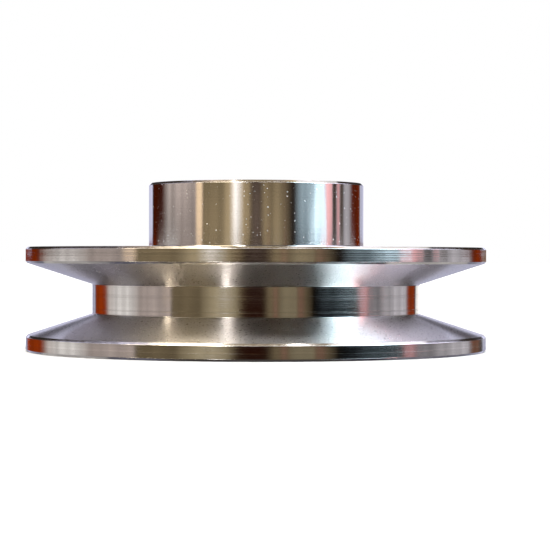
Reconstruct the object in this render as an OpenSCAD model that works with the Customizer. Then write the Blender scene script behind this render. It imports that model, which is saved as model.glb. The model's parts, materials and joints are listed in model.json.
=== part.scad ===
// Single-groove V-belt pulley with a finished bore, fixed to its shaft by two set screws.
// The pulley is turned in one piece: two flanges, the groove between them and a plain hub.
// The axis is +Z, the rim's free face lies on z = 0 and the hub points up.

/* [Rim and groove] */
// Outside diameter of both flanges
rim_d = 85.5; // [68:0.5:160]
// Width of the rim across both flanges
face_w = 19.2; // [17:0.1:26]
// Width of the groove between the flanges' rims, before its edges are broken
groove_w = 13.4; // [11:0.1:15]
// Depth of the groove from the rim to its flat floor
groove_depth = 12.25; // [8:0.25:15]
// Included angle between the groove's two flanks
groove_angle = 36; // [30:1:40]
// Edge break where each flank meets the rim
mouth_break = 0.4; // [0.1:0.05:0.8]
// Chamfer on the rim's two outer corners
rim_chamfer = 0.4; // [0.1:0.05:0.8]

/* [Hub] */
// Outside diameter of the hub
hub_d = 40; // [36:0.5:50]
// Length of the hub beyond the rim
hub_projection = 11.9; // [10:0.1:24]
// Chamfer on the hub's free corner
hub_chamfer = 0.45; // [0.1:0.05:1]
// Fillet where the hub meets the rim's face
hub_fillet = 0.3; // [0.1:0.05:1]

/* [Bore and keyway] */
// Diameter of the bore for the shaft
bore_d = 19; // [14:0.5:22]
// Chamfer on both ends of the bore
bore_chamfer = 0.6; // [0.2:0.05:1]
// Width of the keyway
keyway_w = 6; // [4:0.5:8]
// Depth of the keyway below the bore's wall
keyway_depth = 2.8; // [1.8:0.1:3.5]
// Compass angle of the keyway and of the screw above it
keyway_angle = 45; // [0:1:90]

/* [Set screws] */
// Angle from the keyway's screw to the other screw
screw_spread = 90; // [60:1:120]
// Thread diameter of the set screws
screw_d = 6; // [5:0.5:7]
// Length of the screw above the keyway
key_screw_length = 6; // [4:0.5:8]
// Length of the screw that bears on the shaft
shaft_screw_length = 8; // [5:0.5:10]
// Distance that each screw is backed off from its seat
screw_back_off = 0.4; // [0.1:0.05:1]
// Width across the flats of the hexagon socket
socket_af = 3; // [2:0.25:3.5]
// Depth of the hexagon socket
socket_depth = 2.5; // [1.5:0.1:3]
// Diameter of the cup's ring at the screw's tip
cup_d = 3; // [2:0.1:4]
// Depth of the cup in the screw's tip
cup_depth = 0.7; // [0.3:0.05:1]
// Chamfer on the screw's socket end
screw_chamfer = 0.4; // [0.2:0.05:0.8]
// Radial gap between a screw and its hole
screw_clearance = 0.05; // [0.02:0.01:0.1]
// Countersink at the mouth of each screw hole
hole_countersink = 0.8; // [0.3:0.05:1.2]

/* [Hidden] */
$fn = 96;

rim_r = rim_d / 2;
floor_r = rim_r - groove_depth;
hub_r = hub_d / 2;
bore_r = bore_d / 2;
screw_r = screw_d / 2;
total_h = face_w + hub_projection;
groove_z = face_w / 2;
break_r = rim_r - mouth_break;
keyway_floor_r = bore_r + keyway_depth;
screw_z = face_w + hub_projection / 2;
hole_r = screw_r + screw_clearance;
shaft_screw_angle = keyway_angle + screw_spread;
// Length by which a cutting shape runs past the faces that it cuts
overcut = 1;

// Half the groove's width at radius r
function groove_half(r) = groove_w / 2 - (rim_r - r) * tan(groove_angle / 2);

// Half section of the rim, with its two outer corners chamfered
module rim_section() {
    polygon([
        [bore_r, 0],
        [rim_r - rim_chamfer, 0],
        [rim_r, rim_chamfer],
        [rim_r, face_w - rim_chamfer],
        [rim_r - rim_chamfer, face_w],
        [bore_r, face_w],
    ]);
}

// Half section of the hub, from the rim's free face to the hub's end
module hub_section() {
    polygon([
        [bore_r, 0],
        [hub_r, 0],
        [hub_r, total_h - hub_chamfer],
        [hub_r - hub_chamfer, total_h],
        [bore_r, total_h],
    ]);
}

// Half section of the fillet between the hub and the rim's face
module hub_fillet_section() {
    translate([hub_r, face_w])
        difference() {
            square(hub_fillet);
            translate([hub_fillet, hub_fillet])
                circle(hub_fillet);
        }
}

// Half section of the groove, opening at 45 degrees where its mouth is broken
module groove_section() {
    floor_half = groove_half(floor_r);
    flank_half = groove_half(break_r);
    mouth_half = flank_half + mouth_break + overcut;
    translate([0, groove_z])
        polygon([
            [floor_r, -floor_half],
            [break_r, -flank_half],
            [rim_r + overcut, -mouth_half],
            [rim_r + overcut, mouth_half],
            [break_r, flank_half],
            [floor_r, floor_half],
        ]);
}

// Half section of the chamfer at the bore's lower end
module bore_chamfer_section() {
    polygon([
        [bore_r, 0],
        [bore_r + bore_chamfer, 0],
        [bore_r, bore_chamfer],
    ]);
}

// The one-piece turning before its keyway and screw holes are cut
module turning() {
    rotate_extrude()
        difference() {
            union() {
                rim_section();
                hub_section();
                hub_fillet_section();
            }
            groove_section();
            bore_chamfer_section();
            translate([0, total_h])
                mirror([0, 1])
                    bore_chamfer_section();
        }
}

// Slot broached through the bore, on the +X side
module keyway() {
    translate([0, -keyway_w / 2, -overcut])
        cube([keyway_floor_r, keyway_w, total_h + 2 * overcut]);
}

// Turns a shape that points along +Z to point outwards at a compass angle, level with the screws
module point_outwards(angle) {
    translate([0, 0, screw_z])
        rotate([0, 90, angle])
            children();
}

// Cut for one screw hole, from the bore to past the hub, with its countersink
module screw_hole() {
    cylinder(r = hole_r, h = hub_r + overcut);
    translate([0, 0, hub_r - hole_countersink])
        cylinder(r1 = hole_r, r2 = hole_r + hole_countersink + overcut, h = hole_countersink + overcut);
}

module pulley() {
    color("silver")
        difference() {
            turning();
            rotate([0, 0, keyway_angle])
                keyway();
            point_outwards(keyway_angle)
                screw_hole();
            point_outwards(shaft_screw_angle)
                screw_hole();
        }
}

// Half section of a set screw standing on its tip, with a 45 degree point
module screw_section(length) {
    polygon([
        [0, 0],
        [cup_d / 2, 0],
        [screw_r, screw_r - cup_d / 2],
        [screw_r, length - screw_chamfer],
        [screw_r - screw_chamfer, length],
        [0, length],
    ]);
}

// Cup-point set screw standing on its tip at the origin, with its hexagon socket on top
module set_screw(length) {
    color("dimgray")
        difference() {
            rotate_extrude()
                screw_section(length);
            cylinder(d1 = cup_d, d2 = 0, h = cup_depth);
            translate([0, 0, length - socket_depth])
                cylinder(d = socket_af / cos(30), h = socket_depth + overcut, $fn = 6);
        }
}

// Screw that bears on the key, backed off from the keyway's floor
module key_set_screw() {
    point_outwards(keyway_angle)
        translate([0, 0, keyway_floor_r + screw_back_off])
            set_screw(key_screw_length);
}

// Screw that bears on the shaft, backed off from the bore's wall
module shaft_set_screw() {
    point_outwards(shaft_screw_angle)
        translate([0, 0, bore_r + screw_back_off])
            set_screw(shaft_screw_length);
}

pulley();
key_set_screw();
shaft_set_screw();
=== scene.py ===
import json
import math

import bmesh
import bpy
from mathutils import Matrix, Vector

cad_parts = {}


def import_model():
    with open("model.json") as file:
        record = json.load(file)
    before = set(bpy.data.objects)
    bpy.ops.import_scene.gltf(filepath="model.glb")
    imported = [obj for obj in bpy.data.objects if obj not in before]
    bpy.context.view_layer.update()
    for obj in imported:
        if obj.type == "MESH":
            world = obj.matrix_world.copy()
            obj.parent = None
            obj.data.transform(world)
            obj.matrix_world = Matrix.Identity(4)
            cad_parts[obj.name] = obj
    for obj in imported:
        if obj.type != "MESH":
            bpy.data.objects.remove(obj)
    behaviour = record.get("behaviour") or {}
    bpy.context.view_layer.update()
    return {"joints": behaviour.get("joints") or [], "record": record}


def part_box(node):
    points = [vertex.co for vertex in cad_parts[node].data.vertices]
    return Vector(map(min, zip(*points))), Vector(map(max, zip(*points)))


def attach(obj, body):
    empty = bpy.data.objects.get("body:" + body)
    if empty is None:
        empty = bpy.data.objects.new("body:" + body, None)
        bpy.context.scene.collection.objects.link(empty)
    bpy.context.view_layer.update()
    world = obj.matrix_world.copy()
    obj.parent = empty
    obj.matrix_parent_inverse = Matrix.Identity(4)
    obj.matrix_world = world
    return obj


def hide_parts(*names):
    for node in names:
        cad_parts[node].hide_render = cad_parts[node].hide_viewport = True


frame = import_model()

# Sizes, in metres
MM = 0.001
RIM_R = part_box("pulley")[1].x
TOTAL_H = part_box("pulley")[1].z
MOUNTS = {mount["name"]: mount for mount in frame["record"]["mounts"]}
BORE_R = MOUNTS["shaft_bore"]["dims"]["r_mm"] * MM
FACE_W = 19.2 * MM
GROOVE_W = 13.4 * MM
GROOVE_DEPTH = 12.25 * MM
GROOVE_ANGLE = math.radians(36)
MOUTH_BREAK = 0.4 * MM
RIM_CHAMFER = 0.4 * MM
HUB_R = 20 * MM
HUB_CHAMFER = 0.45 * MM
HUB_FILLET = 0.3 * MM
BORE_CHAMFER = 0.6 * MM
KEYWAY_W = 6 * MM
KEYWAY_DEPTH = 2.8 * MM
KEYWAY_CORNER = 0.25 * MM
SCREW_R = 3 * MM
SCREW_BACK_OFF = 0.4 * MM
SCREW_CHAMFER = 0.4 * MM
CUP_R = 1.5 * MM
CUP_DEPTH = 0.7 * MM
SOCKET_AF = 3 * MM
SOCKET_DEPTH = 2.5 * MM
SOCKET_CHAMFER = 0.15 * MM
DRILL_POINT = 0.5 * MM
THREAD_PITCH = 1 * MM
THREAD_DEPTH = 0.55 * MM
# Shares of half a pitch at which the thread's flat crest ends and its flat root begins
THREAD_CREST_END = 0.125
THREAD_ROOT_START = 0.75
HOLE_R = 3.05 * MM
HOLE_COUNTERSINK = 0.8 * MM
TAP_DEPTH = 0.3 * MM
OVERCUT = 1 * MM
# Rounding of deburred corners and of the groove's floor corners
DEBURR = 0.07 * MM
FLOOR_CORNER = 0.15 * MM

# Mesh fineness
PULLEY_SEGMENTS = 320
PULLEY_ROW = 2.5 * MM
SCREW_SEGMENTS = 96
SCREW_ROW = 0.0625 * MM
ARC_STEPS = 4
SUPPORT = 0.02 * MM
WELD = 1e-7
KEYWAY_CORNER_STEPS = 4
SMOOTH_ANGLE = math.radians(30)

GROOVE_Z = FACE_W / 2
FLOOR_R = RIM_R - GROOVE_DEPTH
BREAK_R = RIM_R - MOUTH_BREAK
KEYWAY_FLOOR_R = BORE_R + KEYWAY_DEPTH
SCREW_Z = (FACE_W + TOTAL_H) / 2
SCREW_ANGLES = {
    joint["child"]: math.atan2(joint["axis"][1], joint["axis"][0]) for joint in frame["joints"]
}
SCREW_LENGTHS = {"key_set_screw": 6 * MM, "shaft_set_screw": 8 * MM}
SCREW_TIPS = {
    "key_set_screw": KEYWAY_FLOOR_R + SCREW_BACK_OFF,
    "shaft_set_screw": BORE_R + SCREW_BACK_OFF,
}


def groove_half(radius):
    """Half the groove's width at a radius."""
    return GROOVE_W / 2 - (RIM_R - radius) * math.tan(GROOVE_ANGLE / 2)


# Node helpers


def add(tree, kind, inputs=None, **settings):
    """Adds a node, sets its settings, then links or sets each of its named or numbered inputs."""
    node = tree.nodes.new(kind)
    for name, value in settings.items():
        setattr(node, name, value)
    for key, value in (inputs or {}).items():
        if isinstance(value, bpy.types.NodeSocket):
            tree.links.new(value, node.inputs[key])
        else:
            node.inputs[key].default_value = value
    return node


def maths(tree, operation, *values):
    """Output of a Math node on sockets or numbers."""
    return add(tree, "ShaderNodeMath", dict(enumerate(values)), operation=operation).outputs[0]


def sockets(tree, direction, named_types):
    """Gives a node group its named sockets, with their default values."""
    for name, kind, default in named_types:
        made = tree.interface.new_socket(name, in_out=direction, socket_type=kind)
        if default is not None:
            made.default_value = default


# Turned pieces


def turned_tree(name, finishes):
    """Geometry Nodes lathe: spins a half section about Z and gives each of its stretches its finish.

    A thread, where it has a depth, is cut into the stretches of the first finish.
    """
    tree = bpy.data.node_groups.new(name, "GeometryNodeTree")
    sockets(tree, "INPUT", [
        ("Outline", "NodeSocketGeometry", None),
        ("Segments", "NodeSocketInt", SCREW_SEGMENTS),
        ("Thread crest", "NodeSocketFloat", 1.0),
        ("Thread pitch", "NodeSocketFloat", THREAD_PITCH),
        ("Thread depth", "NodeSocketFloat", 0.0),
    ])
    sockets(tree, "OUTPUT", [("Piece", "NodeSocketGeometry", None)])
    given = add(tree, "NodeGroupInput").outputs
    outline = given["Outline"]
    counts = add(tree, "GeometryNodeAttributeDomainSize", {"Geometry": outline}).outputs
    stretches = counts["Edge Count"]
    grid = add(tree, "GeometryNodeMeshGrid", {
        "Size X": stretches,
        "Size Y": given["Segments"],
        "Vertices X": maths(tree, "ADD", stretches, 1),
        "Vertices Y": maths(tree, "ADD", given["Segments"], 1),
    })

    position = add(tree, "GeometryNodeInputPosition").outputs[0]
    flat = add(tree, "ShaderNodeSeparateXYZ", {0: position}).outputs
    along = maths(tree, "ADD", flat["X"], maths(tree, "DIVIDE", stretches, 2))
    around = maths(tree, "ADD", flat["Y"], maths(tree, "DIVIDE", given["Segments"], 2))
    turn = maths(tree, "DIVIDE", around, given["Segments"])
    angle = maths(tree, "MULTIPLY", turn, math.tau)
    point = maths(tree, "MODULO", maths(tree, "ROUND", along), counts["Point Count"])
    section = add(tree, "GeometryNodeSampleIndex", {
        "Geometry": outline, "Value": position, "Index": point,
    }, data_type="FLOAT_VECTOR").outputs[0]
    section = add(tree, "ShaderNodeSeparateXYZ", {0: section}).outputs

    finish = add(tree, "GeometryNodeInputNamedAttribute", {"Name": "finish"}, data_type="INT").outputs[0]
    stretch_finish = add(tree, "GeometryNodeSampleIndex", {
        "Geometry": outline, "Value": finish, "Index": maths(tree, "FLOOR", along),
    }, data_type="INT").outputs[0]
    point_finish = add(tree, "GeometryNodeSampleIndex", {
        "Geometry": outline, "Value": finish, "Index": point,
    }, data_type="INT").outputs[0]

    climb = maths(tree, "DIVIDE", section["Z"], given["Thread pitch"])
    saw = maths(tree, "FRACT", maths(tree, "SUBTRACT", climb, turn))
    ridge = maths(tree, "ABSOLUTE", maths(tree, "MULTIPLY_ADD", saw, 2, -1))
    valley = add(tree, "ShaderNodeMapRange", {
        "Value": ridge, "From Min": THREAD_CREST_END, "From Max": THREAD_ROOT_START,
    }).outputs[0]
    cut = maths(tree, "MULTIPLY", valley, given["Thread depth"])
    thread = maths(tree, "SUBTRACT", given["Thread crest"], cut)
    threaded = maths(tree, "LESS_THAN", point_finish, 0.5)
    excess = maths(tree, "MAXIMUM", maths(tree, "SUBTRACT", section["X"], thread), 0)
    radius = maths(tree, "SUBTRACT", section["X"], maths(tree, "MULTIPLY", excess, threaded))

    spun = add(tree, "ShaderNodeCombineXYZ", {
        "X": maths(tree, "MULTIPLY", radius, maths(tree, "COSINE", angle)),
        "Y": maths(tree, "MULTIPLY", radius, maths(tree, "SINE", angle)),
        "Z": section["Z"],
    }).outputs[0]
    kept = add(tree, "GeometryNodeStoreNamedAttribute", {
        "Geometry": grid.outputs["Mesh"], "Name": "finish", "Value": stretch_finish,
    }, data_type="INT", domain="FACE")
    worn = add(tree, "GeometryNodeStoreNamedAttribute", {
        "Geometry": kept.outputs[0], "Name": "valley", "Value": valley,
    }, data_type="FLOAT", domain="POINT")
    shaped = add(tree, "GeometryNodeSetPosition", {"Geometry": worn.outputs[0], "Position": spun})
    closed = add(tree, "GeometryNodeMergeByDistance", {"Geometry": shaped.outputs[0], "Distance": WELD})
    piece = add(tree, "GeometryNodeRealizeInstances", {"Geometry": closed.outputs[0]}).outputs[0]
    for number, material in enumerate(finishes):
        chosen = add(tree, "FunctionNodeCompare", {
            "A": finish, "B": number,
        }, data_type="INT", operation="EQUAL")
        dressed = add(tree, "GeometryNodeSetMaterial", {"Geometry": piece, "Material": material})
        if number:
            tree.links.new(chosen.outputs[0], dressed.inputs["Selection"])
        piece = dressed.outputs[0]
    add(tree, "NodeGroupOutput", {"Piece": piece})
    return tree


def rows_between(start, end, row):
    """Points that cut the straight stretch after a point into rows, without the two ends."""
    place = Vector(start[:2])
    rows = max(1, math.ceil((end - place).length / row))
    return [(*place.lerp(end, step / rows), start[2]) for step in range(1, rows)]


def rounded(corners, row, closed, edge_finish):
    """Points of a half section as (radius, height, finish of the stretch after it).

    Each corner is (radius, height, rounding, finish of the stretch after it). Straight stretches are cut
    into rows, with one row close to each arc so that the stretch keeps its own slope up to the edge.
    """
    points = []
    count = len(corners)
    ends = [] if closed else [0, count - 1]
    for number, (radius, height, rounding, finish) in enumerate(corners):
        corner = Vector((radius, height))
        if number in ends or not rounding:
            arc = [corner]
            finishes = [finish]
        else:
            before = Vector(corners[number - 1][:2])
            after = Vector(corners[(number + 1) % count][:2])
            coming = (corner - before).normalized()
            going = (after - corner).normalized()
            bend = math.atan2(coming.cross(going), coming.dot(going))
            reach = rounding * math.tan(abs(bend) / 2)
            start = corner - coming * reach
            centre = start + Vector((-coming.y, coming.x)) * math.copysign(rounding, bend)
            arc = [start - coming * SUPPORT]
            for step in range(ARC_STEPS + 1):
                arc.append(centre + Matrix.Rotation(bend * step / ARC_STEPS, 2) @ (start - centre))
            arc.append(corner + going * (reach + SUPPORT))
            coming_finish = points[-1][2] if points else corners[-1][3]
            finishes = [coming_finish] + [edge_finish] * ARC_STEPS + [finish] * 2
        if points:
            points += rows_between(points[-1], arc[0], row)
        points += [(*place, kept) for place, kept in zip(arc, finishes)]
    if closed:
        points += rows_between(points[-1], Vector(points[0][:2]), row)
    return points


def turned(name, tree, corners, row, closed=False, edge_finish=0, **sizes):
    """Object of one turned piece, still a live lathe over its half section."""
    points = rounded(corners, row, closed, edge_finish)
    edges = [(number, number + 1) for number in range(len(points) - 1)]
    if closed:
        edges.append((len(points) - 1, 0))
    mesh = bpy.data.meshes.new(name)
    mesh.from_pydata([(radius, 0, height) for radius, height, _ in points], edges, [])
    finish = mesh.attributes.new("finish", "INT", "POINT")
    finish.data.foreach_set("value", [point[2] for point in points])
    piece = bpy.data.objects.new(name, mesh)
    bpy.context.scene.collection.objects.link(piece)
    lathe = piece.modifiers.new("lathe", "NODES")
    lathe.node_group = tree
    inputs = {item.name: item.identifier for item in tree.interface.items_tree if item.in_out == "INPUT"}
    for size, value in sizes.items():
        lathe[inputs[size.replace("_", " ").capitalize()]] = value
    return piece


def settle(piece):
    """Turns a piece's modifiers into a plain closed mesh, smooth apart from its real corners."""
    evaluated = piece.evaluated_get(bpy.context.evaluated_depsgraph_get())
    mesh = bpy.data.meshes.new_from_object(evaluated)
    piece.modifiers.clear()
    piece.data = mesh
    mesh.name = piece.name
    if "finish" in mesh.attributes:
        mesh.attributes.remove(mesh.attributes["finish"])
    for slot in reversed(range(len(mesh.materials))):
        if mesh.materials[slot] is None:
            mesh.materials.pop(index=slot)
    mesh.shade_smooth()
    mesh.set_sharp_from_angle(angle=SMOOTH_ANGLE)
    return piece


def cut_out(piece, *cutters):
    """Cuts shapes out of a piece, whose cut faces get the cutters' finishes, and removes the cutters."""
    for cutter in cutters:
        cut = piece.modifiers.new(cutter.name, "BOOLEAN")
        cut.operation = "DIFFERENCE"
        cut.solver = "MANIFOLD"
        cut.material_mode = "TRANSFER"
        cut.object = cutter
    settle(piece)
    for cutter in cutters:
        bpy.data.objects.remove(cutter)
    return piece


def outwards(angle):
    """Turns a shape that stands on the origin to point outwards at a compass angle, level with the screws."""
    turn = Matrix.Rotation(angle, 4, "Z") @ Matrix.Rotation(math.radians(90), 4, "Y")
    return Matrix.Translation((0, 0, SCREW_Z)) @ turn


# Finishes

# How slowly the tool lines' spacing drifts, and how many finer lines each carries, of what depth
LINE_DRIFT = 0.4
FINE_LINES = 3.7
FINE_DEPTH = 0.2
# Nicks lie closer in patches: patches to a millimetre, and the height at which a nick is fully pale, that
# paleness being a painted glint on the hub
PATCH_CLOSENESS = 0.12
FULL_NICK_GLINT = 0.4
# Noise values at which the grain is darkest and lightest
GRAIN_RANGE = (0.2, 0.8)
# How the grain of the broached keyway is stretched, and the share of a thread's depth that is worn
DRAWN_GRAIN = (3, 3, 0.05)
WORN_SHARE = 0.25
# Turn from the tangent, which runs round the axis, to the way that highlights stretch
QUARTER_TURN = 0.25


def lathe_coordinates():
    """Group: place on the pulley in millimetres, along its axis, across from it and in space."""
    tree = bpy.data.node_groups.new("lathe coordinates", "ShaderNodeTree")
    sockets(tree, "OUTPUT", [
        ("Along", "NodeSocketFloat", None),
        ("Across", "NodeSocketFloat", None),
        ("Place", "NodeSocketVector", None),
    ])
    place = add(tree, "ShaderNodeTexCoord").outputs["Object"]
    place = add(tree, "ShaderNodeVectorMath", {0: place, "Scale": 1 / MM}, operation="SCALE").outputs[0]
    split = add(tree, "ShaderNodeSeparateXYZ", {0: place}).outputs
    flat = add(tree, "ShaderNodeCombineXYZ", {"X": split["X"], "Y": split["Y"]}).outputs[0]
    across = add(tree, "ShaderNodeVectorMath", {0: flat}, operation="LENGTH").outputs["Value"]
    add(tree, "NodeGroupOutput", {"Along": split["Z"], "Across": across, "Place": place})
    return tree


def tool_lines():
    """Group: feed marks of a turning tool, one shallow scallop beside another, each of its own depth."""
    tree = bpy.data.node_groups.new("tool lines", "ShaderNodeTree")
    sockets(tree, "INPUT", [
        ("Feed", "NodeSocketFloat", 0.0),
        ("Spacing", "NodeSocketFloat", 0.4),
        ("Wander", "NodeSocketFloat", 1.6),
    ])
    sockets(tree, "OUTPUT", [("Height", "NodeSocketFloat", None), ("Tone", "NodeSocketFloat", None)])
    given = add(tree, "NodeGroupInput").outputs
    even = maths(tree, "DIVIDE", given["Feed"], given["Spacing"])
    drift = {"W": even, "Scale": LINE_DRIFT}
    shift = add(tree, "ShaderNodeTexNoise", drift, noise_dimensions="1D").outputs[0]
    lines = maths(tree, "MULTIPLY_ADD", shift, given["Wander"], even)
    line = maths(tree, "FLOOR", lines)
    depth = add(tree, "ShaderNodeTexWhiteNoise", {"W": line}, noise_dimensions="1D").outputs[0]
    across = maths(tree, "MULTIPLY_ADD", maths(tree, "FRACT", lines), 2, -1)
    scallop = maths(tree, "MULTIPLY", maths(tree, "MULTIPLY", across, across), depth)
    fine_lines = maths(tree, "MULTIPLY", lines, FINE_LINES)
    fine = add(tree, "ShaderNodeTexNoise", {"W": fine_lines, "Scale": 1.0}, noise_dimensions="1D").outputs[0]
    height = maths(tree, "MULTIPLY_ADD", fine, FINE_DEPTH, scallop)
    add(tree, "NodeGroupOutput", {"Height": height, "Tone": depth})
    return tree


def handling_marks():
    """Group: specks where the surface is nicked, thicker in some places."""
    tree = bpy.data.node_groups.new("handling marks", "ShaderNodeTree")
    sockets(tree, "INPUT", [
        ("Place", "NodeSocketVector", None),
        ("Speck spacing", "NodeSocketFloat", 0.8),
        ("Speck size", "NodeSocketFloat", 0.22),
    ])
    sockets(tree, "OUTPUT", [("Specks", "NodeSocketFloat", None)])
    given = add(tree, "NodeGroupInput").outputs
    patches = add(tree, "ShaderNodeTexNoise", {
        "Vector": given["Place"], "Scale": PATCH_CLOSENESS, "Detail": 4.0,
    }).outputs[0]
    closeness = maths(tree, "DIVIDE", 1.0, given["Speck spacing"])
    cells = add(tree, "ShaderNodeTexVoronoi", {"Vector": given["Place"], "Scale": closeness}).outputs
    chance = add(tree, "ShaderNodeSeparateColor", {0: cells["Color"]}).outputs
    size = maths(tree, "MULTIPLY", maths(tree, "MULTIPLY", given["Speck size"], closeness), chance[1])
    near = maths(tree, "SUBTRACT", 1.0, maths(tree, "DIVIDE", cells["Distance"], size))
    kept = maths(tree, "GREATER_THAN", patches, chance[0])
    specks = maths(tree, "MULTIPLY", maths(tree, "MAXIMUM", near, 0.0), kept)
    add(tree, "NodeGroupOutput", {"Specks": specks})
    return tree


def satin_grain():
    """Group: fine grain of a satin surface."""
    tree = bpy.data.node_groups.new("satin grain", "ShaderNodeTree")
    sockets(tree, "INPUT", [("Place", "NodeSocketVector", None), ("Size", "NodeSocketFloat", 0.25)])
    sockets(tree, "OUTPUT", [("Grain", "NodeSocketFloat", None)])
    given = add(tree, "NodeGroupInput").outputs
    closeness = maths(tree, "DIVIDE", 1.0, given["Size"])
    noise = add(tree, "ShaderNodeTexNoise", {
        "Vector": given["Place"], "Scale": closeness, "Detail": 3.0,
    }).outputs[0]
    grain = add(tree, "ShaderNodeMapRange", {
        "Value": noise, "From Min": GRAIN_RANGE[0], "From Max": GRAIN_RANGE[1],
    }, interpolation_type="SMOOTHSTEP").outputs[0]
    add(tree, "NodeGroupOutput", {"Grain": grain})
    return tree


COORDINATES = lathe_coordinates()
TOOL_LINES = tool_lines()
HANDLING_MARKS = handling_marks()
SATIN_GRAIN = satin_grain()

BRIGHT_STEEL = (0.64, 0.61, 0.59, 1)
DULL_STEEL = (0.50, 0.475, 0.455, 1)
LINED_STEEL = (0.57, 0.545, 0.525, 1)
# Pale colour of the hub's nicked specks: a painted glint, paler than the steel itself
GLINTING_NICK_STEEL = (0.88, 0.87, 0.86, 1)
BLACK_OXIDE = (0.035, 0.035, 0.04, 1)
WORN_OXIDE = (0.22, 0.21, 0.2, 1)
MICRON = 1e-6


def effect(tree, node_group, **inputs):
    """Outputs of a shared effect placed in a material."""
    named = {name.replace("_", " ").capitalize(): value for name, value in inputs.items()}
    return add(tree, "ShaderNodeGroup", named, node_tree=node_group).outputs


def steel(name, streak):
    """Metal material whose highlights stretch across the tool lines, and its tree, shader and coordinates."""
    material = bpy.data.materials.new(name)
    material.use_nodes = True
    tree = material.node_tree
    shader = tree.nodes["Principled BSDF"]
    shader.inputs["Metallic"].default_value = 1.0
    shader.inputs["Anisotropic"].default_value = streak
    shader.inputs["Anisotropic Rotation"].default_value = QUARTER_TURN
    tangent = add(tree, "ShaderNodeTangent", direction_type="RADIAL", axis="Z")
    tree.links.new(tangent.outputs[0], shader.inputs["Tangent"])
    return material, tree, shader, effect(tree, COORDINATES)


def laid(tree, *layers):
    """Height in microns of layers that lie on each other, each a relief from 0 to 1 and its depth."""
    height = 0.0
    for relief, depth in layers:
        height = maths(tree, "MULTIPLY_ADD", relief, depth, height)
    return height


def tone_and_relief(tree, shader, tone, colours, rough, height):
    """Feeds a shader: a tone between two colours and two roughnesses, and a height in microns."""
    dark, light = colours
    colour = add(tree, "ShaderNodeMix", {"Factor": tone, 6: dark, 7: light}, data_type="RGBA").outputs[2]
    tree.links.new(colour, shader.inputs["Base Color"])
    roughness = add(tree, "ShaderNodeMapRange", {
        "Value": tone, "To Min": rough[0], "To Max": rough[1],
    }).outputs[0]
    tree.links.new(roughness, shader.inputs["Roughness"])
    relief = add(tree, "ShaderNodeBump", {"Height": height, "Distance": MICRON}).outputs[0]
    tree.links.new(relief, shader.inputs["Normal"])


def polished_hub():
    """Hub wall: polished, with very fine lines and a sprinkling of nicked specks, whose pale colour is a
    painted glint.
    """
    material, tree, shader, where = steel("polished_hub", streak=0.4)
    lines = effect(tree, TOOL_LINES, feed=where["Along"], spacing=0.45)
    marks = effect(tree, HANDLING_MARKS, place=where["Place"], speck_spacing=0.6, speck_size=0.15)
    grain = effect(tree, SATIN_GRAIN, place=where["Place"], size=0.3)["Grain"]
    height = laid(tree, (grain, 1), (marks["Specks"], 5), (lines["Height"], 0.6))
    # The nicked specks are real relief; their pale colour is a painted glint
    nick_glints = add(tree, "ShaderNodeMapRange", {"Value": marks["Specks"], "From Max": FULL_NICK_GLINT}).outputs[0]
    tone_and_relief(tree, shader, nick_glints, (BRIGHT_STEEL, GLINTING_NICK_STEEL), rough=(0.09, 0.5), height=height)
    return material


def turned_land():
    """Rims and groove floor: bright, with plain tool lines."""
    material, tree, shader, where = steel("turned_land", streak=0.7)
    lines = effect(tree, TOOL_LINES, feed=where["Along"], spacing=0.42)
    marks = effect(tree, HANDLING_MARKS, place=where["Place"], speck_spacing=1.6)
    height = laid(tree, (marks["Specks"], 4), (lines["Height"], 2.2))
    tone = lines["Tone"]
    tone_and_relief(tree, shader, tone, (BRIGHT_STEEL, LINED_STEEL), rough=(0.08, 0.11), height=height)
    return material


def satin_flank():
    """Groove flanks: satin, with a fine grain and close tool lines."""
    material, tree, shader, where = steel("satin_flank", streak=1.0)
    lines = effect(tree, TOOL_LINES, feed=where["Across"], spacing=0.3)
    grain = effect(tree, SATIN_GRAIN, place=where["Place"], size=0.35)["Grain"]
    height = laid(tree, (lines["Height"], 1), (grain, 3))
    tone_and_relief(tree, shader, grain, (DULL_STEEL, BRIGHT_STEEL), rough=(0.27, 0.29), height=height)
    return material


def faced_end():
    """Flat ends: faced, with concentric tool lines."""
    material, tree, shader, where = steel("faced_end", streak=0.8)
    lines = effect(tree, TOOL_LINES, feed=where["Across"], spacing=0.3, wander=0.4)
    height = laid(tree, (lines["Height"], 1.8))
    tone_and_relief(tree, shader, lines["Tone"], (DULL_STEEL, LINED_STEEL), rough=(0.22, 0.27), height=height)
    return material


def broken_edge():
    """Chamfers and deburred corners: bright, with a little grain."""
    material, tree, shader, where = steel("broken_edge", streak=0.2)
    grain = effect(tree, SATIN_GRAIN, place=where["Place"], size=1.5)["Grain"]
    height = laid(tree, (grain, 0.3))
    tone_and_relief(tree, shader, grain, (LINED_STEEL, BRIGHT_STEEL), rough=(0.09, 0.13), height=height)
    return material


def bored_wall():
    """Bore: close boring lines."""
    material, tree, shader, where = steel("bored_wall", streak=0.6)
    lines = effect(tree, TOOL_LINES, feed=where["Along"], spacing=0.25, wander=0.4)
    height = laid(tree, (lines["Height"], 1.5))
    tone_and_relief(tree, shader, lines["Tone"], (DULL_STEEL, BRIGHT_STEEL), rough=(0.2, 0.25), height=height)
    return material


def broached_keyway():
    """Keyway: drawn lines along the axis."""
    material, tree, shader, where = steel("broached_keyway", streak=0.0)
    drawn = add(tree, "ShaderNodeMapping", {"Vector": where["Place"], "Scale": DRAWN_GRAIN}).outputs[0]
    grain = effect(tree, SATIN_GRAIN, place=drawn, size=0.6)["Grain"]
    height = laid(tree, (grain, 4))
    tone_and_relief(tree, shader, grain, (DULL_STEEL, BRIGHT_STEEL), rough=(0.28, 0.4), height=height)
    return material


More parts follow.
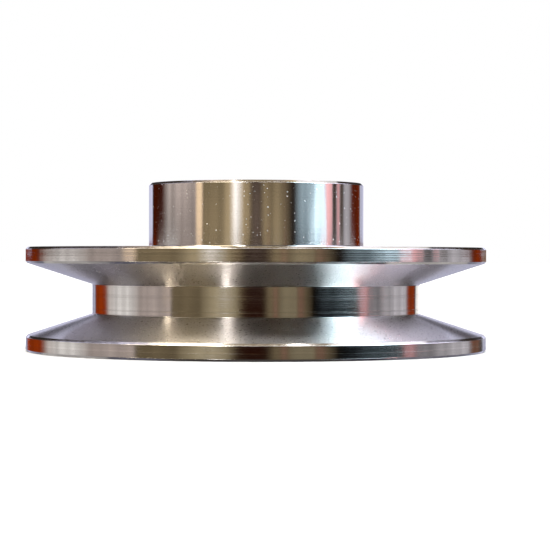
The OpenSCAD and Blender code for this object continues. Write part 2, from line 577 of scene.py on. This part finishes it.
def tapped_hole():
    """Tapped threads: dull cut steel."""
    material, tree, shader, where = steel("tapped_hole", streak=0.0)
    grain = effect(tree, SATIN_GRAIN, place=where["Place"], size=0.15)["Grain"]
    height = laid(tree, (grain, 3))
    tone_and_relief(tree, shader, grain, (DULL_STEEL, BRIGHT_STEEL), rough=(0.3, 0.42), height=height)
    return material


def black_oxide():
    """Set screws: oiled black oxide, worn lighter along the thread's crests."""
    material, tree, shader, where = steel("black_oxide", streak=0.0)
    grain = effect(tree, SATIN_GRAIN, place=where["Place"], size=0.2)["Grain"]
    valley = add(tree, "ShaderNodeAttribute", attribute_name="valley").outputs["Fac"]
    crest = add(tree, "ShaderNodeMapRange", {
        "Value": valley, "From Min": WORN_SHARE, "From Max": 0.0,
    }).outputs[0]
    wear = maths(tree, "MULTIPLY", crest, grain)
    height = laid(tree, (grain, 2))
    tone_and_relief(tree, shader, wear, (BLACK_OXIDE, WORN_OXIDE), rough=(0.34, 0.24), height=height)
    return material


# Pieces

FINISHES = [polished_hub(), turned_land(), satin_flank(), faced_end(), bored_wall(), broken_edge()]
HUB, LAND, FLANK, FACED, BORED, EDGE = range(len(FINISHES))


def pulley():
    """Pulley body: the turning, less its keyway and its two tapped holes."""
    flank_half = groove_half(BREAK_R)
    floor_half = groove_half(FLOOR_R)
    mouth_half = flank_half + MOUTH_BREAK
    corners = [
        (HUB_R - HUB_CHAMFER, TOTAL_H, DEBURR, EDGE),
        (HUB_R, TOTAL_H - HUB_CHAMFER, DEBURR, HUB),
        (HUB_R, FACE_W, HUB_FILLET, FACED),
        (RIM_R - RIM_CHAMFER, FACE_W, DEBURR, EDGE),
        (RIM_R, FACE_W - RIM_CHAMFER, DEBURR, LAND),
        (RIM_R, GROOVE_Z + mouth_half, DEBURR, EDGE),
        (BREAK_R, GROOVE_Z + flank_half, DEBURR, FLANK),
        (FLOOR_R, GROOVE_Z + floor_half, FLOOR_CORNER, LAND),
        (FLOOR_R, GROOVE_Z - floor_half, FLOOR_CORNER, FLANK),
        (BREAK_R, GROOVE_Z - flank_half, DEBURR, EDGE),
        (RIM_R, GROOVE_Z - mouth_half, DEBURR, LAND),
        (RIM_R, RIM_CHAMFER, DEBURR, EDGE),
        (RIM_R - RIM_CHAMFER, 0, DEBURR, FACED),
        (BORE_R + BORE_CHAMFER, 0, DEBURR, EDGE),
        (BORE_R, BORE_CHAMFER, DEBURR, BORED),
        (BORE_R, TOTAL_H - BORE_CHAMFER, DEBURR, EDGE),
        (BORE_R + BORE_CHAMFER, TOTAL_H, DEBURR, FACED),
    ]
    tree = turned_tree("turned pulley", FINISHES)
    tap_tree = turned_tree("tapped hole", [tapped_hole(), FINISHES[EDGE]])
    body = turned("pulley_body", tree, corners, PULLEY_ROW, closed=True, edge_finish=EDGE,
                  segments=PULLEY_SEGMENTS)
    cut_out(body, keyway(), *[tap(angle, tap_tree) for angle in SCREW_ANGLES.values()])
    body.data.attributes.remove(body.data.attributes["valley"])
    return body


def keyway():
    """Broach shape that cuts the keyway, with its two floor corners rounded."""
    mesh = bpy.data.meshes.new("keyway")
    shape = bmesh.new()
    bmesh.ops.create_cube(shape, size=1)
    bmesh.ops.scale(shape, verts=shape.verts, vec=(KEYWAY_FLOOR_R, KEYWAY_W, TOTAL_H + 2 * OVERCUT))
    bmesh.ops.translate(shape, verts=shape.verts, vec=(KEYWAY_FLOOR_R / 2, 0, TOTAL_H / 2))
    deep = [edge for edge in shape.edges if all(v.co.x > BORE_R for v in edge.verts)]
    upright = [edge for edge in deep if abs(edge.verts[0].co.z - edge.verts[1].co.z) > OVERCUT]
    bmesh.ops.bevel(shape, geom=upright, offset=KEYWAY_CORNER, segments=KEYWAY_CORNER_STEPS, affect="EDGES",
                    profile=0.5)
    bmesh.ops.rotate(shape, verts=shape.verts, matrix=Matrix.Rotation(SCREW_ANGLES["key_set_screw"], 3, "Z"))
    shape.to_mesh(mesh)
    shape.free()
    mesh.materials.append(broached_keyway())
    cutter = bpy.data.objects.new("keyway", mesh)
    bpy.context.scene.collection.objects.link(cutter)
    return cutter


def tap(angle, tree):
    """Tap and countersink shape that cuts one screw hole."""
    root = HOLE_R + TAP_DEPTH
    mouth = HOLE_R + HOLE_COUNTERSINK
    corners = [
        (0, HUB_R + OVERCUT, 0, 1),
        (mouth + OVERCUT, HUB_R + OVERCUT, 0, 1),
        (root, HUB_R - mouth + root, 0, 0),
        (root, BORE_R - 2 * OVERCUT, 0, 0),
        (0, BORE_R - 2 * OVERCUT, 0, 0),
    ]
    cutter = turned("tap", tree, corners, SCREW_ROW, segments=SCREW_SEGMENTS, thread_crest=root,
                    thread_depth=TAP_DEPTH)
    settle(cutter).data.transform(outwards(angle))
    return cutter


def set_screw(name, length, tip_r, angle, tree):
    """Cup-point set screw with its thread and hexagon socket, pointing inwards from a compass angle."""
    corners = [
        (0, length, 0, 0),
        (SCREW_R - SCREW_CHAMFER, length, DEBURR, 0),
        (SCREW_R, length - SCREW_CHAMFER, 0, 0),
        (SCREW_R, SCREW_R - CUP_R, 0, 0),
        (CUP_R, 0, DEBURR, 0),
        (0, CUP_DEPTH, 0, 0),
    ]
    screw = turned(name, tree, corners, SCREW_ROW, segments=SCREW_SEGMENTS, thread_crest=SCREW_R,
                   thread_depth=THREAD_DEPTH)
    socket_r = SOCKET_AF / 2 / math.cos(math.radians(30))
    hexagon = [
        (0, length + OVERCUT, 0, 0),
        (socket_r + SOCKET_CHAMFER + OVERCUT, length + OVERCUT, 0, 0),
        (socket_r, length - SOCKET_CHAMFER, 0, 0),
        (socket_r, length - SOCKET_DEPTH, 0, 0),
        (0, length - SOCKET_DEPTH - DRILL_POINT, 0, 0),
    ]
    cut_out(screw, turned("socket", tree, hexagon, RIM_R, segments=6))
    screw.data.transform(outwards(angle) @ Matrix.Translation((0, 0, tip_r)))
    return screw


def dress(piece, node):
    """Puts a finished piece in the place of its CAD node, on the body of the same name."""
    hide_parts(node)
    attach(piece, node)


dress(pulley(), "pulley")
screw_tree = turned_tree("set screw", [black_oxide()])
for node, length in SCREW_LENGTHS.items():
    screw = set_screw(node + "_m6", length, SCREW_TIPS[node], SCREW_ANGLES[node], screw_tree)
    dress(screw, node)

# Studio

# Glowing cards hang on spheres about the pulley. Azimuths and elevations are in degrees. Azimuth 0 is towards
# the camera and grows to its right, and elevation 0 is level with the pulley.
STUDIO_R = 1.5
STUDIO_CENTRE = Vector((0, 0, SCREW_Z / 2))
CARD_GAP = 0.005
CARD_STEP = 3
LEAST_STEPS = 12
# Each card's sides sway a little with the elevation
SWAY = 0.6
SWAY_LENGTH = 1.5
# Each paper is a little uneven: streaks to a metre, the noise values that count, and the shine that they give
STREAKS = (7, 7, 3)
STREAK_NOISE = (0.25, 0.75)
STREAK_SHINE = (0.7, 1.3)
SHADE_DROP = 0.2 * MM
SHADE_SHINE = 0.12
SHADE_SEGMENTS = 96
FLOOR_HALF = 6.0
FLOOR_GREY = (0.85, 0.85, 0.85, 1)
FLOOR_ROUGHNESS = 0.9
SUN_SPREAD = math.radians(70)
SUN_STRENGTH = 5.5
DIM_GREY = (1.0, 0.95, 0.92, 1)
DIM_STRENGTH = 0.08


def paper(name, colour):
    """Glowing card material, as bright as a card's shine says and clear where the card fades out."""
    material = bpy.data.materials.new(name)
    material.use_nodes = True
    tree = material.node_tree
    tree.nodes.clear()
    place = add(tree, "ShaderNodeTexCoord").outputs["Object"]
    upright = add(tree, "ShaderNodeMapping", {"Vector": place, "Scale": STREAKS}).outputs[0]
    streaks = add(tree, "ShaderNodeTexNoise", {"Vector": upright, "Scale": 1.0, "Detail": 3.0}).outputs[0]
    uneven = add(tree, "ShaderNodeMapRange", {
        "Value": streaks,
        "From Min": STREAK_NOISE[0],
        "From Max": STREAK_NOISE[1],
        "To Min": STREAK_SHINE[0],
        "To Max": STREAK_SHINE[1],
    }).outputs[0]
    shine = add(tree, "ShaderNodeAttribute", attribute_name="shine").outputs["Fac"]
    strength = maths(tree, "MULTIPLY", shine, uneven)
    glow = add(tree, "ShaderNodeEmission", {"Color": (*colour, 1), "Strength": strength})
    clear = add(tree, "ShaderNodeBsdfTransparent")
    fade = add(tree, "ShaderNodeAttribute", attribute_name="fade").outputs["Fac"]
    mixed = add(tree, "ShaderNodeMixShader", {0: fade, 1: clear.outputs[0], 2: glow.outputs[0]})
    add(tree, "ShaderNodeOutputMaterial", {"Surface": mixed.outputs[0]})
    return material


WHITE = paper("white_paper", (1.0, 0.98, 0.96))
LILAC = paper("lilac_paper", (0.76, 0.77, 1.0))
CREAM = paper("cream_paper", (1.0, 0.76, 0.50))
IVORY = paper("ivory_paper", (1.0, 0.89, 0.70))
STRAW = paper("straw_paper", (1.0, 0.86, 0.56))
WARM_GREY = paper("warm_grey_paper", (1.0, 0.86, 0.80))
COOL_GREY = paper("cool_grey_paper", (0.94, 0.92, 1.0))
OLIVE = paper("olive_paper", (1.0, 0.78, 0.46))
BROWN = paper("brown_paper", (1.0, 0.12, 0.01))
RUST = paper("rust_paper", (1.0, 0.58, 0.40))
SKY = paper("sky_paper", (0.64, 0.86, 1.0))
ROSE = paper("rose_paper", (1.0, 0.55, 0.58))
DARK = paper("dark_paper", (1.0, 0.75, 0.6))

# Elevations of the cards' feet and heads
STRIP = (0.6, 4.6)
BAND = (-26, 26)
SIDE = (-26, 4.5)
BOARD = (-8, 8)
RIM_LINE = (-0.3, 0.75)
FLOOR_LINE = (-2.25, -0.3)
FOOT_LINE = (-8, -2.25)
HIGH = (24, 66)
OVERHEAD = (62, 79)
LOW = (-66, -24)
BELOW = (-60, -26)
BEHIND = (14, 50)
BEHIND_LOW = (-45, -8)
UNDER_EDGE = (-68, -18)
CEILING = (58, 80)
ZENITH = (79, 90)
FRONT_TOP = (67, 80)
LEFT_TOP = (62, 78)
RIGHT_TOP = (48, 70)
BACK_TOP = (5, 14)
SIDE_FOOT = (-26, -3)
LEFT_EDGE = (8, 53)
LEFT_EDGE_TOP = (53, 77)
RIGHT_EDGE = (8, 41)
RIGHT_EDGE_MIDDLE = (41, 68)
RIGHT_EDGE_TOP = (68, 77)
RIGHT_FLAG_TOP = (70, 84)
LEFT_UNDER = (-50, -22)
RIGHT_UNDER = (-55, -22)

# Each card hangs in front of those before it: name, left and right azimuth, how far each of these sides
# fades, elevations, paper and shine. A side or a shine that changes from a card's foot to its head is a pair.
CARDS = [
    # Papers and lights all round, above and below
    ("table_paper", -180, 180, 0, 0, BELOW, WHITE, 0.05),
    ("table_paper_left", -165, -108, 10, 20, UNDER_EDGE, LILAC, 0.18),
    ("table_paper_right", 108, 165, 20, 10, UNDER_EDGE, LILAC, 0.25),
    ("back_paper_left", -180, -150, 0, 15, BEHIND, LILAC, (1.4, 2)),
    ("back_paper_right", 150, 180, 15, 0, BEHIND, LILAC, (1.4, 2.6)),
    ("back_sheet_left", -180, -150, 0, 15, BEHIND_LOW, LILAC, 0.85),
    ("back_sheet_right", 150, 180, 15, 0, BEHIND_LOW, LILAC, 0.95),
    ("ceiling", -180, 180, 0, 0, CEILING, WARM_GREY, 0.45),
    ("zenith", -180, 180, 0, 0, ZENITH, OLIVE, 0.4),
    ("front_paper", -100, 100, 20, 20, FRONT_TOP, WHITE, 7),
    ("ceiling_light_left", -140, -80, 10, 10, LEFT_TOP, WHITE, 1.8),
    ("ceiling_light_right", 80, 150, 10, 10, RIGHT_TOP, WHITE, 1.8),

    # Bands level with the rims and the groove
    ("back_band", 150, 210, 3, 3, BOARD, LILAC, 0.6),
    ("back_glow", 150, 210, 3, 3, BACK_TOP, LILAC, 1.3),
    ("left_wall", -134, -58, 2, 2, SIDE, WARM_GREY, 0.5),
    ("left_window", -126, -86, 14, 10, SIDE, WHITE, 0.92),
    ("right_wall", 76, 134, 2, 2, SIDE, COOL_GREY, 0.3),
    ("right_window", 92, 130, 16, 4, SIDE, COOL_GREY, 0.7),
    ("felt", -60, 68, 3, 3, BAND, OLIVE, 0.18),
    ("lamp_glow", -39, -6, 12, 14, BAND, STRAW, 0.48),
    ("front_flag", -14, 8, 5, 4, BAND, BROWN, 0.02),
    ("right_flag", 33, 71, 6, 6, BAND, DARK, 0),
    ("low_sky", 48, 78, 6, 3, SIDE_FOOT, SKY, 0.12),
    ("felt_pane", 15, 30, 3, 3, BAND, STRAW, 0.25),
    ("rust_edge_left", 11, 16, 2, 2, BAND, RUST, 0.25),
    ("rust_edge_right", 27, 34, 2, 3, BAND, RUST, 0.2),
    ("rose_glow", 73, 84, 3, 4, BAND, ROSE, 0.55),
    ("left_floor_board", -152, -122, 4, 7, FLOOR_LINE, BROWN, 0.32),
    ("left_foot_board", -160, -122, 5, 8, FOOT_LINE, BROWN, 0.3),
    ("right_floor_board", 126, 148, 6, 5, FLOOR_LINE, BROWN, 0.28),
    ("right_floor_glow", 147, 180, 4, 0, FLOOR_LINE, WHITE, 1.3),
    ("right_foot_board", 128, 148, 7, 7, FOOT_LINE, RUST, 0.2),

    # Strips level with the hub
    ("back_strip", 144, 216, 3, 3, STRIP, LILAC, 0.9),
    ("left_board_strip", -146, -103, 3, 9, STRIP, BROWN, 0.05),
    ("left_wall_strip", -119, -57, 16, 2, STRIP, WARM_GREY, (0.2, 1)),
    ("felt_strip", -59, 62, 1, 1, STRIP, OLIVE, (0.5, 0.16)),
    ("cream_strip", -67.5, -57.5, 3, 2, STRIP, CREAM, 1.5),
    ("lamp_halo_strip", -37, -3, 14, 15, STRIP, OLIVE, 0.8),
    ("lamp_strip", -28, -13, 7, 7, STRIP, WHITE, 1.9),
    ("front_flag_strip", -8, 9, 5, 6, STRIP, DARK, (0.3, 0.02)),
    ("right_flag_strip", 23, 88, 14, 2, STRIP, DARK, 0.04),
    ("window_strip", 40, 82, 9, 1, STRIP, SKY, 0.75),
    ("window_pane_strip", (53, 69), (82, 75), 7, 1, STRIP, SKY, 2.6),
    ("right_wall_strip", 87, 150, 2, 2, STRIP, COOL_GREY, 0.5),
    ("rose_strip", (80, 73), 88, 3, 1, STRIP, ROSE, 1.4),
    ("right_gap_strip", 88, 94, 0.7, 0.7, STRIP, DARK, 0.06),
    ("blush_strip", 94, 99.5, 1, 1, STRIP, ROSE, 0.9),
    ("right_shade_strip", 99, 106.5, 1, 2, STRIP, DARK, 0.1),
    ("right_board_strip", 116, 147, 8, 3, STRIP, BROWN, 0.14),

    # Boards level with the upper rim
    ("left_rim_board", -180, -126, 0, 12, RIM_LINE, BROWN, 0.2),
    ("right_rim_board", 128, 180, 8, 0, RIM_LINE, BROWN, 0.22),
    ("right_rim_shade", 147, 180, 6, 0, RIM_LINE, RUST, 0.2),

    # Tall lights above and below all of these
    ("left_light_high", -142, -100, 8, 10, HIGH, LILAC, (2.4, 4)),
    ("left_light_low", -142, -104, 8, 10, LOW, LILAC, 0.2),
    ("left_glow_high", -98, -73, 10, 3, HIGH, WARM_GREY, (1.4, 1)),
    ("left_glow_low", -98, -73, 10, 3, LOW, WARM_GREY, 0.1),
    ("cream_light_high", -71, -64, 2, 2, HIGH, IVORY, (23, 14)),
    ("cream_light_low", -70, -64, 2, 2, LOW, IVORY, (4.5, 11.5)),
    ("felt_glow_high", -62, -26, 8, 8, HIGH, STRAW, (0.5, 6)),
    ("felt_light_high", -110, -40, 20, 12, OVERHEAD, IVORY, 13),
    ("felt_light_low", -60, -34, 6, 6, LOW, OLIVE, (0.4, 0.5)),
    ("lamp_light_high", -25, -15, 2, 4, HIGH, WHITE, (10, 30)),
    ("lamp_light_low", -25, -18, 2, 2, LOW, WHITE, (3.5, 17)),
    ("window_light_high", 48, 80, 20, 2, HIGH, SKY, (40, 24)),
    ("window_light_low", 48, 74, 18, 2, LOW, SKY, (2.5, 7)),
    ("rose_light_high", 80, 85, 1, 2, HIGH, ROSE, (60, 5)),
    ("rose_light_low", 74, 78, 1, 2, LOW, ROSE, (2, 16)),
    ("right_light_high", 84, 142, 3, 12, HIGH, LILAC, (7, 6)),
    ("right_light_low", 80, 128, 3, 10, LOW, LILAC, (0.05, 0.1)),

    # Slanting cards that the thin edges mirror, dark at their ends and pale towards their middle
    ("left_edge_flag", (-175, -133), (-157, -112), 3, 3, LEFT_EDGE, DARK, (0.02, 0.08)),
    ("left_edge_glow", (-133, -117), (-112, -88), 3, 3, LEFT_EDGE_TOP, CREAM, (0.2, 0.9)),
    ("right_edge_flag", (157, 124), (175, 143), 3, 3, RIGHT_EDGE, DARK, (0.03, 0.06)),
    ("right_edge_glow", (124, 98), (143, 124), 3, 3, RIGHT_EDGE_MIDDLE, WHITE, (1, 1.3)),
    ("right_edge_shade", (98, 88), (124, 117), 3, 3, RIGHT_EDGE_TOP, OLIVE, (0.9, 0.5)),

    # Glows and flags level with the upper rim
    ("lamp_rim_glow", -29, -11, 6, 4, RIM_LINE, STRAW, 0.25),
    ("front_rim_flag", -11, 8, 4, 4, RIM_LINE, BROWN, 0),
    ("right_rim_flag", 52, 71, 4, 2, RIM_LINE, SKY, 0.08),
    ("rose_rim_glow", 71, 83, 2, 2, RIM_LINE, ROSE, 1.3),

    # Flag above and glows below that the thin edges mirror
    ("right_top_flag", 76, 112, 6, 4, RIGHT_FLAG_TOP, OLIVE, 0.3),
    ("left_under_glow", (-136, -160), (-120, -142), 3, 3, LEFT_UNDER, WHITE, 0.5),
    ("right_under_glow", (111, 138), (121, 152), 3, 2, RIGHT_UNDER, WHITE, (0.8, 0.5)),
]


def faded(distance, width):
    """Share of a card that is left at a distance from its side, which fades out over a width."""
    return min(1, distance / width) if width else 1


def between(ends, share):
    """Value at a share of the way along a pair, or the one number that holds all the way."""
    first, last = ends if isinstance(ends, tuple) else (ends, ends)
    return first + (last - first) * share


def card(place, name, left, right, fade_left, fade_right, elevations, colour, shine):
    """Glowing card at its place in the stack, between two azimuths and two elevations."""
    distance = STUDIO_R - CARD_GAP * place
    low, high = elevations
    columns = max(LEAST_STEPS, math.ceil((between(right, 0) - between(left, 0)) / CARD_STEP))
    rows = max(LEAST_STEPS, math.ceil((high - low) / CARD_STEP))
    points = []
    fades = []
    shines = []
    for column in range(columns + 1):
        for row in range(rows + 1):
            share = row / rows
            sides = (between(left, share), between(right, share))
            azimuth = between(sides, column / columns)
            elevation = between(elevations, share)
            sway = SWAY * math.sin(math.tau * elevation / SWAY_LENGTH + place)
            turn = math.radians(azimuth + sway)
            rise = math.radians(elevation)
            way = Vector((math.sin(turn) * math.cos(rise), -math.cos(turn) * math.cos(rise), math.sin(rise)))
            points.append(STUDIO_CENTRE + way * distance)
            fades.append(min(faded(azimuth - sides[0], fade_left), faded(sides[1] - azimuth, fade_right)))
            shines.append(between(shine, share))
    faces = []
    for column in range(columns):
        for row in range(rows):
            corner = column * (rows + 1) + row
            faces.append((corner, corner + rows + 1, corner + rows + 2, corner + 1))
    mesh = bpy.data.meshes.new(name)
    mesh.from_pydata(points, [], faces)
    hang(name, mesh, colour, fades, shines)


def hang(name, mesh, colour, fades, shines):
    """Adds a sheet that the metal mirrors. It doesn't show to the camera, or light or shade the floor."""
    mesh.attributes.new("fade", "FLOAT", "POINT").data.foreach_set("value", fades)
    mesh.attributes.new("shine", "FLOAT", "POINT").data.foreach_set("value", shines)
    mesh.materials.append(colour)
    sheet = bpy.data.objects.new(name, mesh)
    bpy.context.scene.collection.objects.link(sheet)
    sheet.visible_camera = False
    sheet.visible_diffuse = False
    sheet.visible_shadow = False


def contact_shade():
    """Dark disc under the rim: the floor's own shadow, as the metal mirrors it."""
    shape = bmesh.new()
    bmesh.ops.create_circle(shape, cap_ends=True, segments=SHADE_SEGMENTS, radius=RIM_R - RIM_CHAMFER)
    mesh = bpy.data.meshes.new("contact_shade")
    shape.to_mesh(mesh)
    shape.free()
    mesh.transform(Matrix.Translation((0, 0, -SHADE_DROP)))
    count = len(mesh.vertices)
    hang("contact_shade", mesh, DARK, [1] * count, [SHADE_SHINE] * count)


def floor():
    """Pale floor, which the metal doesn't mirror."""
    corners = [
        (-FLOOR_HALF, -FLOOR_HALF, 0),
        (FLOOR_HALF, -FLOOR_HALF, 0),
        (FLOOR_HALF, FLOOR_HALF, 0),
        (-FLOOR_HALF, FLOOR_HALF, 0),
    ]
    mesh = bpy.data.meshes.new("floor")
    mesh.from_pydata(corners, [], [(0, 1, 2, 3)])
    material = bpy.data.materials.new("pale_floor")
    material.use_nodes = True
    shader = material.node_tree.nodes["Principled BSDF"]
    shader.inputs["Base Color"].default_value = FLOOR_GREY
    shader.inputs["Roughness"].default_value = FLOOR_ROUGHNESS
    shader.inputs["Specular IOR Level"].default_value = 0.0
    mesh.materials.append(material)
    sheet = bpy.data.objects.new("floor", mesh)
    bpy.context.scene.collection.objects.link(sheet)
    sheet.visible_glossy = False


def sun():
    """Wide overhead light for the floor."""
    light = bpy.data.lights.new("floor_light", "SUN")
    light.angle = SUN_SPREAD
    light.energy = SUN_STRENGTH
    lamp = bpy.data.objects.new("floor_light", light)
    lamp.visible_glossy = False
    bpy.context.scene.collection.objects.link(lamp)


def world():
    """White background, and dim grey surroundings for the metal."""
    surroundings = bpy.data.worlds.new("studio")
    bpy.context.scene.world = surroundings
    surroundings.use_nodes = True
    tree = surroundings.node_tree
    tree.nodes.clear()
    dim = add(tree, "ShaderNodeBackground", {"Color": DIM_GREY, "Strength": DIM_STRENGTH})
    white = add(tree, "ShaderNodeBackground", {"Color": (1, 1, 1, 1), "Strength": 1.0})
    seen = add(tree, "ShaderNodeLightPath").outputs["Is Camera Ray"]
    shown = add(tree, "ShaderNodeMixShader", {0: seen, 1: dim.outputs[0], 2: white.outputs[0]})
    add(tree, "ShaderNodeOutputWorld", {"Surface": shown.outputs[0]})


CAMERA_EYE = Vector((0, -369 * MM, 17.12 * MM))
CAMERA_AIM = Vector((3.53 * MM, 0, 14.05 * MM))
CAMERA_ROLL = math.radians(0.127)
CAMERA_LENS = 129.2


def camera():
    """Camera level with the rim, aimed a little right of the axis and below its own height."""
    data = bpy.data.cameras.new("camera")
    data.sensor_width = 36
    data.lens = CAMERA_LENS
    data.clip_start = 0.01
    data.clip_end = 50
    body = bpy.data.objects.new("camera", data)
    aimed = (CAMERA_AIM - CAMERA_EYE).to_track_quat("-Z", "Y").to_matrix().to_4x4()
    body.matrix_world = Matrix.Translation(CAMERA_EYE) @ aimed @ Matrix.Rotation(CAMERA_ROLL, 4, "Z")
    bpy.context.scene.collection.objects.link(body)
    bpy.context.scene.camera = body


for place, described in enumerate(CARDS):
    card(place, *described)
contact_shade()
floor()
sun()
world()
camera()
bpy.context.scene.view_settings.view_transform = "Standard"
